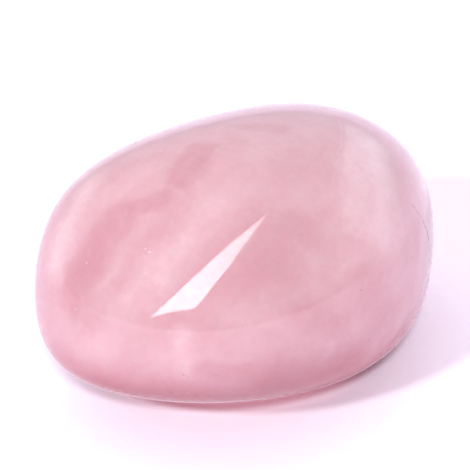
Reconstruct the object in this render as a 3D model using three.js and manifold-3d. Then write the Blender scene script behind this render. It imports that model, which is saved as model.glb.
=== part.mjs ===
// Rose quartz pocket stone: one tumbled and polished pebble.
// Millimetres, +X along the stone, +Z up. The origin is on the surface that the stone rests on,
// under the middle of its box.
//
// The form is an ellipsoid that tumbling has worn by several broad soft faces. Each worn face is
// a plane that the ellipsoid is blended into, so the stone is convex and smooth all over. Only the
// small spot that it rests on is truly flat.

import * as THREE from 'three';
import { mergeVertices } from 'three/addons/utils/BufferGeometryUtils.js';
import Module from 'manifold-3d';

// Half axes of the ellipsoid before wear: along, across and up.
const HALF_LENGTH = 25.5;
const HALF_WIDTH = 17.3;
const HALF_HEIGHT = 14.7;

// The worn faces. azimuth and elevation, in degrees, say which way a face looks: azimuth 0 is +X,
// 90 is +Y, and elevation 90 is straight up. reach is its distance from the ellipsoid's middle.
const WORN_FACES = [
  { name: 'crown, leaning back', azimuth: 80, elevation: 60, reach: 14.4 },
  { name: 'crown, towards the blunt end', azimuth: -20, elevation: 60, reach: 16.8 },
  { name: 'blunt end', azimuth: 20, elevation: 25, reach: 23.4 },
  { name: 'narrow end', azimuth: 200, elevation: 20, reach: 20.7 },
  { name: 'front flank', azimuth: -45, elevation: 5, reach: 18.3 },
  { name: 'front underside', azimuth: -135, elevation: -60, reach: 16.2 },
  { name: 'back flank', azimuth: 90, elevation: -10, reach: 13.7 },
  { name: 'back corner', azimuth: 130, elevation: 0, reach: 21.9 },
  { name: 'base', azimuth: 40, elevation: -86, reach: 12.5 },
];

// How tightly the ellipsoid and the worn faces are blended: a larger power gives crisper edges.
const BLEND_POWER = 6;

// How much of the lowest point is ground away to leave the flat resting spot.
const FLAT_DEPTH = 0.15;

// Each edge of the starting icosahedron is split this many times.
const EDGE_SPLITS = 17;

const ROSE = 0xebb9c8;
const POLISHED_ROUGHNESS = 0.1;

// A unit vector from its azimuth and elevation in degrees.
function direction(azimuth, elevation) {
  const turn = THREE.MathUtils.degToRad(azimuth);
  const rise = THREE.MathUtils.degToRad(elevation);
  const level = Math.cos(rise);
  return new THREE.Vector3(level * Math.cos(turn), level * Math.sin(turn), Math.sin(rise));
}

const wornPlanes = WORN_FACES.map(({ azimuth, elevation, reach }) => {
  return { normal: direction(azimuth, elevation), reach };
});

// How many times further out than the stone's surface a point lies: 1 on the surface itself.
// It is the blend of the same measure for the ellipsoid and for each worn face.
function timesOutside(point) {
  const ellipsoid = Math.hypot(point.x / HALF_LENGTH, point.y / HALF_WIDTH, point.z / HALF_HEIGHT);
  let total = ellipsoid ** BLEND_POWER;
  for (const { normal, reach } of wornPlanes) {
    total += Math.max(0, point.dot(normal) / reach) ** BLEND_POWER;
  }
  return total ** (1 / BLEND_POWER);
}

// The rounded pebble: the corners of a finely split icosahedron, drawn in or out to the surface.
function pebble() {
  const ball = new THREE.IcosahedronGeometry(1, EDGE_SPLITS);
  ball.deleteAttribute('normal');
  ball.deleteAttribute('uv');
  const geometry = mergeVertices(ball);
  const corners = geometry.attributes.position;
  const corner = new THREE.Vector3();
  for (let i = 0; i < corners.count; i++) {
    corner.fromBufferAttribute(corners, i);
    corner.divideScalar(timesOutside(corner));
    corners.setXYZ(i, corner.x, corner.y, corner.z);
  }
  return geometry;
}

// A block under the stone whose top is the plane of the flat resting spot.
function blockBelow(stoneBox) {
  const size = stoneBox.getSize(new THREE.Vector3());
  const block = new THREE.BoxGeometry(size.x, size.y, size.z);
  block.deleteAttribute('normal');
  block.deleteAttribute('uv');
  const top = stoneBox.min.z + FLAT_DEPTH;
  block.translate(0, 0, top - size.z / 2);
  return mergeVertices(block);
}

const manifold = await Module();
manifold.setup();

function toSolid(geometry) {
  const vertProperties = Float32Array.from(geometry.attributes.position.array);
  const triVerts = Uint32Array.from(geometry.index.array);
  return new manifold.Manifold(new manifold.Mesh({ numProp: 3, vertProperties, triVerts }));
}

function toGeometry(solid) {
  const mesh = solid.getMesh();
  const geometry = new THREE.BufferGeometry();
  geometry.setAttribute('position', new THREE.BufferAttribute(mesh.vertProperties, mesh.numProp));
  geometry.setIndex(new THREE.BufferAttribute(mesh.triVerts, 1));
  return geometry;
}

// Moves a geometry so that the middle of its box's underside is at the origin.
function standAtOrigin(geometry) {
  geometry.computeBoundingBox();
  const { min, max } = geometry.boundingBox;
  geometry.translate(-(min.x + max.x) / 2, -(min.y + max.y) / 2, -min.z);
}

// The pebble with its lowest point ground flat, standing at the origin.
function stoneGeometry() {
  const rounded = pebble();
  rounded.computeBoundingBox();
  const ground = toSolid(rounded).subtract(toSolid(blockBelow(rounded.boundingBox)));
  const geometry = toGeometry(ground);
  standAtOrigin(geometry);
  geometry.computeVertexNormals();
  return geometry;
}

function roseQuartz() {
  return new THREE.MeshStandardMaterial({
    color: ROSE,
    roughness: POLISHED_ROUGHNESS,
    metalness: 0,
  });
}

const stone = new THREE.Mesh(stoneGeometry(), roseQuartz());
stone.name = 'stone';

const pocketStone = new THREE.Group();
pocketStone.add(stone);

export default pocketStone;
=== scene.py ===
"""Rose quartz pocket stone: one tumbled, polished pebble on a pale table.

The stone is a fine mesh of the same form as the fixed frame's node, with a cloudy, slightly translucent
pink material. Places on it are named by where the camera sees them, in pixels of a 470 x 470 picture.
"""

from collections import namedtuple

import bmesh
import bpy
import numpy as np
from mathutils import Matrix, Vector


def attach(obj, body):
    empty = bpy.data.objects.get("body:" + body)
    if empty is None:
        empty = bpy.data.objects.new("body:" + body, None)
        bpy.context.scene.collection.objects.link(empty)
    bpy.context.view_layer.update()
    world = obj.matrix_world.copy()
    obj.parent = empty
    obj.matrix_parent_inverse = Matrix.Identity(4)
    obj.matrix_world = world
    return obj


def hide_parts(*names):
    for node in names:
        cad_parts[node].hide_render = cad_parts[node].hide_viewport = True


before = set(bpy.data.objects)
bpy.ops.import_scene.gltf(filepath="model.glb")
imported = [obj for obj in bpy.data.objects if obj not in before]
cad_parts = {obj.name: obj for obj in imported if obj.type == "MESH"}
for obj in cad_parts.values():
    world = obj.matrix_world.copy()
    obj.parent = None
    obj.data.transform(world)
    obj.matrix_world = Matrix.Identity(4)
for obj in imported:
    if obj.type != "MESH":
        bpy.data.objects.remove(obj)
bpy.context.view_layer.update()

MM = 0.001

# The form: an ellipsoid worn by broad soft faces, as in the fixed frame.
HALF_AXES = np.array([25.5, 17.3, 14.7]) * MM
WornFace = namedtuple("WornFace", "azimuth elevation reach")
WORN_FACES = [
    WornFace(80, 60, 14.4 * MM),
    WornFace(-20, 60, 16.8 * MM),
    WornFace(20, 25, 23.4 * MM),
    WornFace(200, 20, 20.7 * MM),
    WornFace(-45, 5, 18.3 * MM),
    WornFace(-135, -60, 16.2 * MM),
    WornFace(90, -10, 13.7 * MM),
    WornFace(130, 0, 21.9 * MM),
    WornFace(40, -86, 12.5 * MM),
]
BLEND_POWER = 6
FLAT_DEPTH = 0.15 * MM

# The camera: azimuth 0 looks along +Y, and the target is what the middle of the picture shows.
CAMERA_AZIMUTH = -39.5
CAMERA_ELEVATION = 30.2
CAMERA_DISTANCE = 250 * MM
CAMERA_TARGET = np.array([-0.9, 3.15, 12.7]) * MM
PIXEL_AT_TARGET = 0.09506 * MM
PICTURE_WIDTH = 470
SENSOR_WIDTH = 36.0


def direction(azimuth, elevation):
    """A unit vector: azimuth 0 is +X and 90 is +Y, elevation 90 is straight up."""
    turn, rise = np.radians([azimuth, elevation])
    return np.array([np.cos(turn) * np.cos(rise), np.sin(turn) * np.cos(rise), np.sin(rise)])


WORN_NORMALS = np.array([direction(face.azimuth, face.elevation) for face in WORN_FACES])
WORN_REACHES = np.array([face.reach for face in WORN_FACES])


def wear_terms(points):
    """How far out points lie, from the ellipsoid's middle, for the ellipsoid and for each worn face."""
    ellipsoid = np.linalg.norm(points / HALF_AXES, axis=-1)
    faces = np.maximum(0, points @ WORN_NORMALS.T / WORN_REACHES)
    return ellipsoid, faces


def times_outside(points):
    """1 on the pebble's surface, more outside it and less inside it."""
    ellipsoid, faces = wear_terms(points)
    return (ellipsoid**BLEND_POWER + (faces**BLEND_POWER).sum(-1)) ** (1 / BLEND_POWER)


def steepest(points):
    """The gradient of times_outside, which points straight out of the surface."""
    ellipsoid, faces = wear_terms(points)
    power = BLEND_POWER - 1
    out = (ellipsoid ** (power - 1))[..., None] * points / HALF_AXES**2
    out = out + (faces**power / WORN_REACHES) @ WORN_NORMALS
    return out / (times_outside(points) ** power)[..., None]


def fine_ball(subdivisions=7):
    """A bmesh of a finely split icosahedron of radius 1."""
    ball = bmesh.new()
    bmesh.ops.create_icosphere(ball, subdivisions=subdivisions, radius=1.0)
    return ball


def pebble_points(unit_points):
    """Draws the points of a unit ball in or out to the pebble's surface, with its middle at 0."""
    return unit_points / times_outside(unit_points)[:, None]


def middle_in_frame(points):
    """Where the ellipsoid's middle is, once the pebble stands on its flat spot over the origin."""
    lowest, highest = points.min(0), points.max(0)
    middle = -(lowest + highest) / 2
    middle[2] = -(lowest[2] + FLAT_DEPTH)
    return middle


BALL = fine_ball()
PEBBLE = pebble_points(np.array([v.co for v in BALL.verts]))
MIDDLE = middle_in_frame(PEBBLE)


def camera_axes():
    """The camera's right, up and backward directions."""
    turn, rise = np.radians([CAMERA_AZIMUTH, CAMERA_ELEVATION])
    right = np.array([np.cos(turn), np.sin(turn), 0.0])
    back = np.array([np.sin(turn) * np.cos(rise), -np.cos(turn) * np.cos(rise), np.sin(rise)])
    return right, np.cross(back, right), back


RIGHT, UP, BACK = camera_axes()
EYE = CAMERA_TARGET + BACK * CAMERA_DISTANCE


def seen_at(pixel):
    """The point of the stone that the camera sees at a pixel, its outward normal, and the sight line."""
    x, y = pixel
    half = PICTURE_WIDTH / 2
    sight = CAMERA_TARGET + ((x - half) * RIGHT + (half - y) * UP) * PIXEL_AT_TARGET - EYE
    sight = sight / np.linalg.norm(sight)
    distance = 0.0
    for _ in range(40):
        point = EYE + sight * distance - MIDDLE
        slope = steepest(point[None])[0]
        distance -= (times_outside(point[None])[0] - 1) / (slope @ sight)
    return EYE + sight * distance, slope / np.linalg.norm(slope), sight


def mirrored_at(pixel):
    """The point seen at a pixel, and the direction in which it mirrors the surroundings."""
    point, normal, sight = seen_at(pixel)
    return point, sight - 2 * (sight @ normal) * normal


def make_camera():
    data = bpy.data.cameras.new("camera")
    data.sensor_width = SENSOR_WIDTH
    data.lens = SENSOR_WIDTH * CAMERA_DISTANCE / (PICTURE_WIDTH * PIXEL_AT_TARGET)
    data.clip_start = 0.01
    camera = bpy.data.objects.new("camera", data)
    camera.location = Vector(EYE)
    camera.rotation_mode = "QUATERNION"
    camera.rotation_quaternion = Vector(BACK).to_track_quat("Z", "Y")
    bpy.context.scene.collection.objects.link(camera)
    bpy.context.scene.camera = camera


def object_from(name, mesh, material):
    piece = bpy.data.objects.new(name, mesh)
    mesh.materials.append(material)
    bpy.context.scene.collection.objects.link(piece)
    return piece


def make_stone(material):
    """The pebble, standing on a small flat spot."""
    points = PEBBLE + MIDDLE
    points[:, 2] = np.maximum(points[:, 2], 0)
    for vertex, point in zip(BALL.verts, points):
        vertex.co = point
    mesh = bpy.data.meshes.new("rose_quartz_pebble")
    BALL.to_mesh(mesh)
    mesh.polygons.foreach_set("use_smooth", [True] * len(mesh.polygons))
    return object_from("rose_quartz_pebble", mesh, material)


class Nodes:
    """Adds shader nodes to a tree and joins them."""

    def __init__(self, tree):
        self.tree = tree
        self.tree.nodes.clear()

    def add(self, kind, inputs=None, **settings):
        node = self.tree.nodes.new(kind)
        for name, value in settings.items():
            setattr(node, name, value)
        for name, value in (inputs or {}).items():
            self.put(node.inputs[name], value)
        return node

    def put(self, socket, value):
        if isinstance(value, bpy.types.NodeSocket):
            self.tree.links.new(value, socket)
        else:
            socket.default_value = value

    def maths(self, operation, *values):
        node = self.add("ShaderNodeMath", operation=operation)
        for socket, value in zip(node.inputs, values):
            self.put(socket, value)
        return node.outputs[0]

    def vector(self, operation, *values):
        node = self.add("ShaderNodeVectorMath", operation=operation)
        for socket, value in zip(node.inputs, values):
            self.put(socket, value)
        return node

    def smooth(self, value, start, end):
        """0 before start and 1 after end, with a soft step between them."""
        node = self.add("ShaderNodeMapRange", interpolation_type="SMOOTHSTEP", clamp=True)
        for name, number in (("Value", value), ("From Min", start), ("From Max", end)):
            self.put(node.inputs[name], number)
        return node.outputs["Result"]

    def along(self, where, origin, axis):
        """How far a place lies from an origin, measured along an axis."""
        offset = self.vector("SUBTRACT", where, tuple(origin)).outputs["Vector"]
        return self.vector("DOT_PRODUCT", offset, tuple(axis)).outputs["Value"]


def linear(red, green, blue):
    """A colour given as 0 to 255 screen values, as linear light with full alpha."""
    screen = np.array([red, green, blue]) / 255
    low = screen / 12.92
    high = ((screen + 0.055) / 1.055) ** 2.4
    return (*np.where(screen <= 0.04045, low, high), 1.0)


# How strongly a soft mark changes the tone of the quartz.
FAINT = 0.06
SOFT = 0.1
CLEAR = 0.15
STRONG = 0.22

# Soft marks in the quartz, and marks of painted shade and painted reflection where noted. A mark runs between
# two places in the picture; half_width is in pixels, softness 1 fades right from its middle, and tone makes
# the quartz paler (above 0) or a deeper rose (below 0).
Mark = namedtuple("Mark", "start end half_width softness tone")
MARKS_WITH_PAINTED_SHADE_AND_REFLECTION = [
    Mark((181, 180), (200, 150), 24, 0.7, -STRONG),
    Mark((138, 206), (160, 200), 16, 0.6, -CLEAR),
    Mark((118, 222), (72, 296), 26, 0.6, -CLEAR),
    Mark((160, 230), (118, 278), 12, 0.8, -FAINT),
    Mark((76, 312), (92, 318), 14, 0.7, -SOFT),
    Mark((290, 224), (310, 232), 24, 0.7, -FAINT),
    Mark((262, 262), (288, 268), 27, 0.7, -FAINT),
    Mark((252, 126), (280, 128), 20, 0.9, -CLEAR),
    Mark((120, 172), (150, 158), 24, 1.0, -FAINT),
    Mark((205, 160), (240, 145), 22, 1.0, -FAINT),
    # Painted shade: the lower right, turned away from the light and towards the shadowed table.
    Mark((375, 300), (395, 325), 50, 0.9, -CLEAR),
    Mark((305, 312), (335, 325), 26, 0.9, -CLEAR),
    Mark((270, 375), (350, 360), 40, 0.9, -STRONG),
    Mark((205, 370), (240, 372), 19, 0.8, -CLEAR),
    Mark((120, 368), (150, 364), 17, 1.0, -FAINT),
    # Painted dark reflection: the blunt end's rim mirroring the table's shadow.
    Mark((418, 230), (412, 290), 26, 1.0, -CLEAR),
    Mark((380, 150), (392, 230), 36, 0.9, CLEAR),
    # Painted reflection: the pale band along the left rim, where the polish mirrors the bright studio.
    Mark((84, 190), (58, 262), 30, 1.0, STRONG),
    Mark((215, 215), (160, 272), 30, 0.8, SOFT),
    Mark((160, 288), (118, 308), 24, 0.8, SOFT),
    Mark((215, 196), (320, 195), 28, 1.0, FAINT),
    Mark((222, 312), (262, 310), 20, 0.9, SOFT),
    Mark((178, 335), (186, 372), 17, 0.9, CLEAR),
    Mark((305, 285), (380, 240), 26, 1.0, FAINT),
    Mark((75, 345), (110, 352), 26, 1.0, SOFT),
    Mark((322, 362), (330, 348), 8, 1.0, SOFT),
    Mark((132, 252), (86, 300), 7, 1.0, FAINT),
    Mark((126, 214), (150, 216), 6, 1.0, FAINT),
    Mark((160, 188), (182, 198), 6, 1.0, FAINT),
]

# Fine dark lines: the dotted hairline, a painted dark reflection of the table's shadow along the blunt end's
# rim, and scratches near the foot.
DarkLine = namedtuple("DarkLine", "start end half_width strength")
SCRATCHES_AND_PAINTED_REFLECTION = [
    DarkLine((413, 258), (361, 290), 1.3, 0.5),
    # Painted dark reflection: the blunt end's rim mirroring the table's shadow.
    DarkLine((412, 205), (424, 223), 2.5, 0.5),
    DarkLine((424, 223), (429, 240), 3.5, 0.8),
    DarkLine((429, 240), (429, 262), 3.5, 1.0),
    DarkLine((429, 262), (427, 283), 3.5, 1.0),
    DarkLine((431, 245), (431, 268), 3.0, 0.7),
    # Scratches near the foot.
    DarkLine((183, 375), (189, 378), 1.3, 0.6),
    DarkLine((195, 395), (204, 396), 1.3, 0.6),
    DarkLine((169, 392), (174, 393), 1.3, 0.6),
    DarkLine((214, 376), (220, 375), 1.2, 0.5),
    DarkLine((369, 339), (370, 341), 1.6, 0.6),
]

# Tiny pale pits.
PALE_PITS = [((86, 263), 1.4), ((149, 252), 1.5), ((145, 249), 1.1), ((187, 393), 1.4), ((75, 309), 1.2)]

# Base colours from a deep rose (tone 0) to milky pink (tone 1).
ROSE_TONES = [
    (0.0, (173, 113, 124)),
    (0.35, (184, 139, 147)),
    (0.65, (195, 160, 167)),
    (1.0, (212, 190, 196)),
]

# Painted shade: what the colours are multiplied by under the stone, where the rose is deepest.
UNDERSIDE_SHADE_TINT = (0.8, 0.4, 0.46, 1.0)

# What the fine dark lines, scratches and the painted dark reflection, multiply the colours by.
DARK_LINE_TINT = (0.55, 0.5, 0.55, 1.0)


class Quartz(Nodes):
    """The patterns inside the quartz, and painted shade and reflections, worked out from where a point is in
    the stone.
    """

    def __init__(self, tree):
        super().__init__(tree)
        self.point = self.add("ShaderNodeTexCoord").outputs["Object"]
        self.drifted = self.drift(self.drift(self.point, 4.5, 2.4, 3.0), 1.3, 0.6, 2.0)

    def noise(self, where, feature, detail, roughness=0.55):
        """Cloud noise whose features are about this many millimetres across."""
        settings = {"Vector": where, "Scale": 1 / (feature * MM), "Detail": detail, "Roughness": roughness}
        return self.add("ShaderNodeTexNoise", settings)

    def drift(self, where, feature, reach, detail):
        """Shifts places by up to about half of reach, so that edges drawn on them wander like real ones."""
        cloud = self.noise(where, feature, detail).outputs["Color"]
        centred = self.vector("SUBTRACT", cloud, (0.5, 0.5, 0.5)).outputs["Vector"]
        shift = self.vector("SCALE", centred)
        self.put(shift.inputs["Scale"], reach * MM)
        return self.vector("ADD", where, shift.outputs["Vector"]).outputs["Vector"]

    def swing(self, value, amount):
        """Turns a 0 to 1 pattern into one that swings about 0."""
        return self.maths("MULTIPLY", self.maths("SUBTRACT", value, 0.5), amount)

    def tinted(self, colour, share, tint):
        """A colour multiplied by a tint where share is 1."""
        node = self.add("ShaderNodeMix", data_type="RGBA", blend_type="MULTIPLY")
        for socket, value in ((node.inputs[0], share), (node.inputs[6], colour), (node.inputs[7], tint)):
            self.put(socket, value)
        return node.outputs[2]

    def mark(self, where, start, end, half_width, softness):
        """1 in the middle of a soft mark between two places of the picture, and 0 outside it."""
        first, last = seen_at(start)[0], seen_at(end)[0]
        span = last - first
        share = self.along(where, first, span / (span @ span))
        share = self.maths("MINIMUM", self.maths("MAXIMUM", share, 0.0), 1.0)
        reach = self.vector("SCALE", tuple(span))
        self.put(reach.inputs["Scale"], share)
        nearest = self.vector("ADD", reach.outputs["Vector"], tuple(first)).outputs["Vector"]
        distance = self.vector("DISTANCE", where, nearest).outputs["Value"]
        outer = half_width * PIXEL_AT_TARGET
        return self.maths("SUBTRACT", 1.0, self.smooth(distance, outer * (1 - softness), outer))

    def stretched(self, lengths):
        """The place in the frame of the bands, with each axis divided by its length in millimetres."""
        turn = np.radians(BAND_SLOPE)
        along = RIGHT * np.cos(turn) + UP * np.sin(turn)
        across = UP * np.cos(turn) - RIGHT * np.sin(turn)
        node = self.add("ShaderNodeCombineXYZ")
        for socket, axis, length in zip(node.inputs, (along, across, BACK), lengths):
            self.put(socket, self.along(self.drifted, MIDDLE, axis / (length * MM)))
        return node.outputs["Vector"]


# The bands run from lower left to upper right in the picture, this many degrees from level.
BAND_SLOPE = 48

# The healed crack at the upper right ends the milky zone: its line in the picture, from top to bottom.
CRACK = ((341, 118), (331, 214))


def healed_crack(quartz):
    """The milky side of the crack, and the thin bright line along it."""
    top, _, sight = seen_at(CRACK[0])
    bottom = seen_at(CRACK[1])[0]
    run = (bottom - top) / np.linalg.norm(bottom - top)
    across = np.cross(sight, run)
    across = across / np.linalg.norm(across) * np.sign(across @ RIGHT)
    wander = quartz.drift(quartz.point, 3.2, 2.6, 3.0)
    side = quartz.along(wander, top, across)
    milky = quartz.smooth(side, -0.1 * MM, 0.9 * MM)
    line = quartz.maths("SUBTRACT", 1.0, quartz.smooth(quartz.maths("ABSOLUTE", side), 0.03 * MM, 0.2 * MM))
    return milky, line


# Cloud noise that belongs to no place in the photo: the size of its features in millimetres, its detail and
# roughness, and how far it swings the tone. The bands' places are already divided by their lengths.
Pattern = namedtuple("Pattern", "feature detail roughness swing")
CLOUDS = Pattern(9, 3.0, 0.55, 1.0)
BANDS = Pattern(1 / MM, 2.0, 0.55, 1.1)
MOTTLE = Pattern(2.6, 4.0, 0.6, 0.22)
GRAIN = Pattern(0.7, 3.0, 0.6, 0.16)

# How long the bands are along, across and into the picture, in millimetres.
BAND_LENGTHS = (16, 3.2, 13)

# The tone that the patterns swing about.
MIDDLE_TONE = 0.51

# Clouds and bands are weak on the side that the photo shows, where the marks give the pattern. They grow to
# the far side, between these two places along the line to the camera.
FAR_SIDE = (4 * MM, -6 * MM)
NEAR_STRENGTH = 0.25
FAR_GAIN = 0.6


def pattern(quartz, where, kind):
    """A pattern of cloud noise that swings about 0."""
    cloud = quartz.noise(where, kind.feature, kind.detail, kind.roughness)
    return quartz.swing(cloud.outputs["Fac"], kind.swing)


def tone_of(quartz):
    """How pale the quartz is, painted shade and reflections of some marks included: about 0 for the deepest
    rose and 1 for the milkiest.
    """
    far = quartz.smooth(quartz.along(quartz.point, MIDDLE, BACK), *FAR_SIDE)
    strength = quartz.maths("MULTIPLY_ADD", far, FAR_GAIN, NEAR_STRENGTH)
    clouds = pattern(quartz, quartz.drifted, CLOUDS)
    bands = pattern(quartz, quartz.stretched(BAND_LENGTHS), BANDS)
    broad = quartz.maths("MULTIPLY", quartz.maths("ADD", clouds, bands), strength)
    mottle = pattern(quartz, quartz.drifted, MOTTLE)
    grain = pattern(quartz, quartz.point, GRAIN)
    tone = quartz.maths("ADD", quartz.maths("ADD", broad, mottle), quartz.maths("ADD", grain, MIDDLE_TONE))
    for start, end, half_width, softness, lift in MARKS_WITH_PAINTED_SHADE_AND_REFLECTION:
        spread = quartz.mark(quartz.drifted, start, end, half_width, softness)
        tone = quartz.maths("MULTIPLY_ADD", spread, lift, tone)
    return tone


def specks(quartz, size, reach, share):
    """1 in tiny scattered dots: size is how far apart they could be and reach how far each spreads, in mm."""
    cells = quartz.add("ShaderNodeTexVoronoi", {"Vector": quartz.point, "Scale": 1 / (size * MM)})
    outside = quartz.smooth(cells.outputs["Distance"], 0.3 * reach / size, reach / size)
    spot = quartz.maths("SUBTRACT", 1.0, outside)
    chosen = quartz.maths("LESS_THAN", cells.outputs["Color"], share)
    return quartz.maths("MULTIPLY", spot, chosen)


def flaws_and_painted_reflection(quartz):
    """The dark and pale share of small flaws in the polished skin, scratches and pits, and of a painted dark
    rim reflection.
    """
    dark, pale = 0.0, 0.0
    gaps = quartz.smooth(quartz.noise(quartz.point, 0.5, 2.0).outputs["Fac"], 0.4, 0.55)
    wander = quartz.drift(quartz.point, 0.8, 0.35, 2.0)
    for start, end, half_width, strength in SCRATCHES_AND_PAINTED_REFLECTION:
        line = quartz.maths("MULTIPLY", quartz.mark(wander, start, end, half_width, 0.7), gaps)
        dark = quartz.maths("MULTIPLY_ADD", line, strength, dark)
    for place, half_width in PALE_PITS:
        spot = quartz.mark(quartz.point, place, (place[0] + 1, place[1]), half_width, 0.8)
        pale = quartz.maths("ADD", spot, pale)
    return dark, pale


# The milky zone to the right of the crack: start, end, half width and softness, as for a mark.
MILKY_ZONE = ((356, 138), (364, 208), 50, 0.7)
MILKY_LIFT = 0.2
CRACK_LIFT = 0.1

# Painted shade towards the foot: heights between which the rose deepens downwards, and between which the
# underside's shade tint sets in.
PAINTED_SHADE_HEIGHTS = (11.6 * MM, 0.0)
PAINTED_SHADE_DEEPENING = -0.42
SHADE_TINT_HEIGHTS = (10 * MM, 4 * MM)

# Painted light: the quartz grows brighter towards the blunt end, as light through the stone makes it, between
# these two places to the right of its middle.
PAINTED_GLOW_SPAN = (2 * MM, 18 * MM)
PAINTED_GLOW_GAIN = 0.25

# Tiny scattered pits: how far apart they could be and how far each spreads from its middle, in millimetres,
# and about what share of the places has one.
PITS = {"size": 1.1, "reach": 0.1, "share": 0.5}

# A placed pit raises the tone by SPOT_TONE, and a scattered one by PIT_SHARE of that.
SPOT_TONE = 0.35
PIT_SHARE = 0.4

# The relief of the polished skin: the ripple of the polish against the depth of a pit, and that depth.
RIPPLE_SHARE = 0.3
RELIEF_DEPTH = 0.02 * MM

# Gloss, and how light spreads under the skin of quartz.
SMOOTHEST = 0.02
HAZE = 0.06
QUARTZ_IOR = 1.54
SCATTER_COLOURS = (1.0, 0.55, 0.65)
SCATTER_REACH = 5 * MM


def with_crack(quartz, tone):
    """The tone with the milky zone and the bright line of the healed crack added."""
    milky, line = healed_crack(quartz)
    zone = quartz.mark(quartz.drifted, *MILKY_ZONE)
    for share, lift in ((milky, MILKY_LIFT), (line, CRACK_LIFT)):
        tone = quartz.maths("MULTIPLY_ADD", quartz.maths("MULTIPLY", share, zone), lift, tone)
    return tone


def rose_ramp(quartz, tone):
    """The base colour of each tone."""
    ramp = quartz.add("ShaderNodeValToRGB", {"Fac": tone})
    stops = ramp.color_ramp.elements
    while len(stops) < len(ROSE_TONES):
        stops.new(0.5)
    for stop, (position, screen) in zip(stops, ROSE_TONES):
        stop.position = position
        stop.color = linear(*screen)
    return ramp.outputs["Color"]


def tinted_rose(quartz, tone, height, dark):
    """The base colour: painted light at the blunt end, painted shade near the foot, dark in scratches and in
    the painted rim reflection.
    """
    # Painted light: the colour is brightened towards the blunt end.
    blunt_end_glow = quartz.smooth(quartz.along(quartz.point, MIDDLE, RIGHT), *PAINTED_GLOW_SPAN)
    lift = quartz.vector("SCALE", rose_ramp(quartz, tone))
    quartz.put(lift.inputs["Scale"], quartz.maths("MULTIPLY_ADD", blunt_end_glow, PAINTED_GLOW_GAIN, 1.0))
    # Painted shade: the underside's tint darkens the colours near the foot.
    foot_shade_share = quartz.smooth(height, *SHADE_TINT_HEIGHTS)
    colour = quartz.tinted(lift.outputs["Vector"], foot_shade_share, UNDERSIDE_SHADE_TINT)
    return quartz.tinted(colour, dark, DARK_LINE_TINT)


def polished_relief(quartz, pits):
    """The normal of the polished skin, with its faint ripple and tiny pits."""
    ripple = quartz.noise(quartz.point, 2.4, 2.0).outputs["Fac"]
    relief = quartz.maths("SUBTRACT", quartz.maths("MULTIPLY", ripple, RIPPLE_SHARE), pits)
    bump = quartz.add("ShaderNodeBump", {"Strength": 1.0, "Distance": RELIEF_DEPTH, "Height": relief})
    return bump.outputs["Normal"]


def rose_quartz():
    """Polished rose quartz that lets some light in under its skin, with painted shade and painted light in
    its colour.
    """
    material = bpy.data.materials.new("rose_quartz")
    material.use_nodes = True
    quartz = Quartz(material.node_tree)
    tone = with_crack(quartz, tone_of(quartz))
    dark, pale = flaws_and_painted_reflection(quartz)
    pits = specks(quartz, **PITS)
    spots = quartz.maths("MULTIPLY", quartz.maths("MULTIPLY_ADD", pits, PIT_SHARE, pale), SPOT_TONE)
    tone = quartz.maths("ADD", tone, spots)
    height = quartz.vector("DOT_PRODUCT", quartz.point, (0.0, 0.0, 1.0)).outputs["Value"]
    # Painted shade: the rose deepens towards the foot, where little light reaches the underside.
    underside_shade = quartz.smooth(height, *PAINTED_SHADE_HEIGHTS)
    tone = quartz.maths("MULTIPLY_ADD", underside_shade, PAINTED_SHADE_DEEPENING, tone)
    haze = quartz.noise(quartz.point, 1.8, 4.0, 0.7).outputs["Fac"]
    shader = quartz.add("ShaderNodeBsdfPrincipled", {
        "Base Color": tinted_rose(quartz, tone, height, dark),
        "Roughness": quartz.maths("MULTIPLY_ADD", haze, HAZE, SMOOTHEST),
        "Normal": polished_relief(quartz, pits),
        "IOR": QUARTZ_IOR,
        "Subsurface Weight": 1.0,
        "Subsurface Radius": SCATTER_COLOURS,
        "Subsurface Scale": SCATTER_REACH,
    })
    output = quartz.add("ShaderNodeOutputMaterial")
    quartz.put(output.inputs["Surface"], shader.outputs["BSDF"])
    return material


# The oval of the table that glows as if light reached it through the stone: its middle, its half lengths
# along and across, the direction of its long axis in degrees, its soft edge in shares of those lengths, and
# its light.
PINK_MIDDLE = np.array([-3.2, 1.6, 0.0]) * MM
PINK_REACH = (13.0 * MM, 9.2 * MM)
PINK_TURN = -40
PINK_EDGE = (0.7, 1.12)
PINK_LIGHT = (1.0, 0.5, 0.63, 1.0)
PINK_STRENGTH = 0.42

# The table: the two colours that its grain wanders between, and how many grains fit in a metre.
TABLE_COLOURS = [(0.88, 0.81, 0.93, 1.0), (0.92, 0.85, 0.97, 1.0)]
TABLE_GRAINS = 900.0
TABLE_HALF_WIDTH = 2.0


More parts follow.
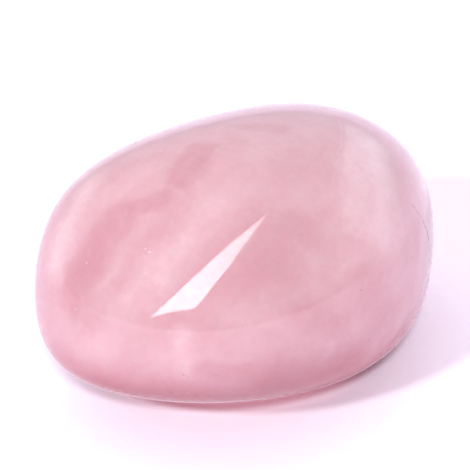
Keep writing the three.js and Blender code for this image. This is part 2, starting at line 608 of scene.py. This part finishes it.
def pale_table():
    """A matt table top with a fine grain, and a faint pink glow that stands for light through the stone."""
    material = bpy.data.materials.new("pale_table")
    material.use_nodes = True
    nodes = Nodes(material.node_tree)
    place = nodes.add("ShaderNodeTexCoord").outputs["Object"]
    lengths = []
    for turn, reach in zip((PINK_TURN, PINK_TURN + 90), PINK_REACH):
        length = nodes.along(place, PINK_MIDDLE, direction(turn, 0) / reach)
        lengths.append(nodes.maths("POWER", nodes.maths("ABSOLUTE", length), 2.0))
    distance = nodes.maths("SQRT", nodes.maths("ADD", *lengths))
    glow_share = nodes.maths("SUBTRACT", 1.0, nodes.smooth(distance, *PINK_EDGE))
    grain = nodes.add("ShaderNodeTexNoise", {"Vector": place, "Scale": TABLE_GRAINS, "Detail": 3.0})
    colour = nodes.add("ShaderNodeMix", {"Factor": grain.outputs["Fac"]}, data_type="RGBA")
    colour.inputs[6].default_value, colour.inputs[7].default_value = TABLE_COLOURS
    relief = {"Strength": 0.1, "Distance": 0.05 * MM, "Height": grain.outputs["Fac"]}
    bump = nodes.add("ShaderNodeBump", relief)
    shader = nodes.add("ShaderNodeBsdfPrincipled", {
        "Base Color": colour.outputs[2],
        "Roughness": 0.9,
        "Specular IOR Level": 0.0,
        "Normal": bump.outputs["Normal"],
        "Emission Color": PINK_LIGHT,
        "Emission Strength": nodes.maths("MULTIPLY", glow_share, PINK_STRENGTH),
    })
    output = nodes.add("ShaderNodeOutputMaterial")
    nodes.put(output.inputs["Surface"], shader.outputs["BSDF"])
    return material


def make_floor():
    mesh = bpy.data.meshes.new("table")
    half = TABLE_HALF_WIDTH
    corners = [(-half, -half, 0), (half, -half, 0), (half, half, 0), (-half, half, 0)]
    mesh.from_pydata(corners, [], [(0, 1, 2, 3)])
    floor = object_from("table", mesh, pale_table())


# The lights: the left one casts the visible shadow, and the front one's shadow hides behind the stone. Size
# is the width of the disk in metres and power is in watts.
Light = namedtuple("Light", "name azimuth elevation size power")
LIGHTS = [
    Light("left_light", 190, 35, 0.15, 14.3),
    Light("front_light", 232, 40, 0.2, 15.0),
]
LIGHT_DISTANCE = 1.5


def area_light(name, azimuth, elevation, size, power):
    """A soft white light that looks at the stone and isn't mirrored in it."""
    data = bpy.data.lights.new(name, "AREA")
    data.shape = "DISK"
    data.size = size
    data.energy = power
    light = bpy.data.objects.new(name, data)
    outward = direction(azimuth, elevation)
    light.location = Vector(outward * LIGHT_DISTANCE)
    light.rotation_mode = "QUATERNION"
    light.rotation_quaternion = Vector(outward).to_track_quat("Z", "Y")
    light.visible_glossy = False
    bpy.context.scene.collection.objects.link(light)


# The window that the stone mirrors as a bright blade: corners and edge points of the blade, and the
# strength of the light there.
BLADE = [
    ((150, 317), 11.0),
    ((172, 312), 11.0),
    ((195, 308), 11.0),
    ((213, 287), 11.0),
    ((231, 264), 10.0),
    ((249, 239), 8.0),
    ((270, 212), 5.0),
    ((248, 230), 8.0),
    ((224, 250), 10.0),
    ((200, 272), 11.0),
    ((175, 295), 11.0),
]
WINDOW_DISTANCE = 500 * MM


def glow():
    """Light whose strength is stored at each corner of the mesh that it is on."""
    material = bpy.data.materials.new("window_light")
    material.use_nodes = True
    nodes = Nodes(material.node_tree)
    strength = nodes.add("ShaderNodeAttribute", attribute_name="strength")
    emission = nodes.add("ShaderNodeEmission", {"Strength": strength.outputs["Fac"]})
    output = nodes.add("ShaderNodeOutputMaterial")
    nodes.put(output.inputs["Surface"], emission.outputs["Emission"])
    return material


def make_window():
    """A lit sheet in the air, seen only as a reflection, whose mirror image fills the blade."""
    corners = []
    for pixel, _ in BLADE:
        point, away = mirrored_at(pixel)
        corners.append(point + away * WINDOW_DISTANCE)
    mesh = bpy.data.meshes.new("window_light")
    mesh.from_pydata([tuple(c) for c in corners], [], [tuple(range(len(corners)))])
    values = mesh.attributes.new("strength", "FLOAT", "POINT")
    for item, (_, strength) in zip(values.data, BLADE):
        item.value = strength
    window = object_from("window_light", mesh, glow())
    for ray in ("camera", "diffuse", "transmission", "volume_scatter", "shadow"):
        setattr(window, "visible_" + ray, False)


# The sky: its strength away from the soft lobes of light, and each lobe's azimuth, elevation and strength.
SKY_STRENGTH = 0.13
SKY_LOBES = [(52, 43, 1.3), (310, 25, 0.25), (140, 25, 0.25)]
SKY_COLOUR = (1.0, 0.97, 1.06, 1.0)

# The low backdrop: its strength, how it fades with height, where it fades towards the camera's side, and how
# softly it joins the sky.
BACKDROP_STRENGTH = 0.9
BACKDROP_FADE = 3.0
BACKDROP_SIDES = (-0.35, 0.25)
BACKDROP_JOIN = 0.2


def towards(nodes, outward, azimuth, elevation):
    """1 where the sky is looked at in this direction, 0 at right angles to it and -1 opposite."""
    return nodes.vector("DOT_PRODUCT", outward, tuple(direction(azimuth, elevation))).outputs["Value"]


def make_world():
    """A studio that is brightest high behind the stone and dim on the camera's side.

    A pale backdrop stands low behind the stone, from its left to its right.
    """
    world = bpy.data.worlds.new("studio")
    world.use_nodes = True
    nodes = Nodes(world.node_tree)
    outward = nodes.add("ShaderNodeTexCoord").outputs["Generated"]
    strength = SKY_STRENGTH
    for azimuth, elevation, peak in SKY_LOBES:
        facing = nodes.maths("MAXIMUM", towards(nodes, outward, azimuth, elevation), 0.0)
        lobe = nodes.maths("POWER", facing, 2.0)
        strength = nodes.maths("MULTIPLY_ADD", lobe, peak, strength)
    height = nodes.maths("ABSOLUTE", towards(nodes, outward, 0, 90))
    low = nodes.maths("POWER", nodes.maths("SUBTRACT", 1.0, height), BACKDROP_FADE)
    behind = nodes.smooth(towards(nodes, outward, 90 + CAMERA_AZIMUTH, 0), *BACKDROP_SIDES)
    backdrop = nodes.maths("MULTIPLY", nodes.maths("MULTIPLY", low, behind), BACKDROP_STRENGTH)
    strength = nodes.maths("SMOOTH_MAX", strength, backdrop, BACKDROP_JOIN)
    background = nodes.add("ShaderNodeBackground", {"Color": SKY_COLOUR, "Strength": strength})
    output = nodes.add("ShaderNodeOutputWorld")
    nodes.put(output.inputs["Surface"], background.outputs["Background"])
    bpy.context.scene.world = world


make_camera()
make_floor()
make_world()
for light in LIGHTS:
    area_light(*light)
make_window()
stone = make_stone(rose_quartz())
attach(stone, "root")
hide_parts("stone")

view = bpy.context.scene.view_settings
view.view_transform = "Standard"
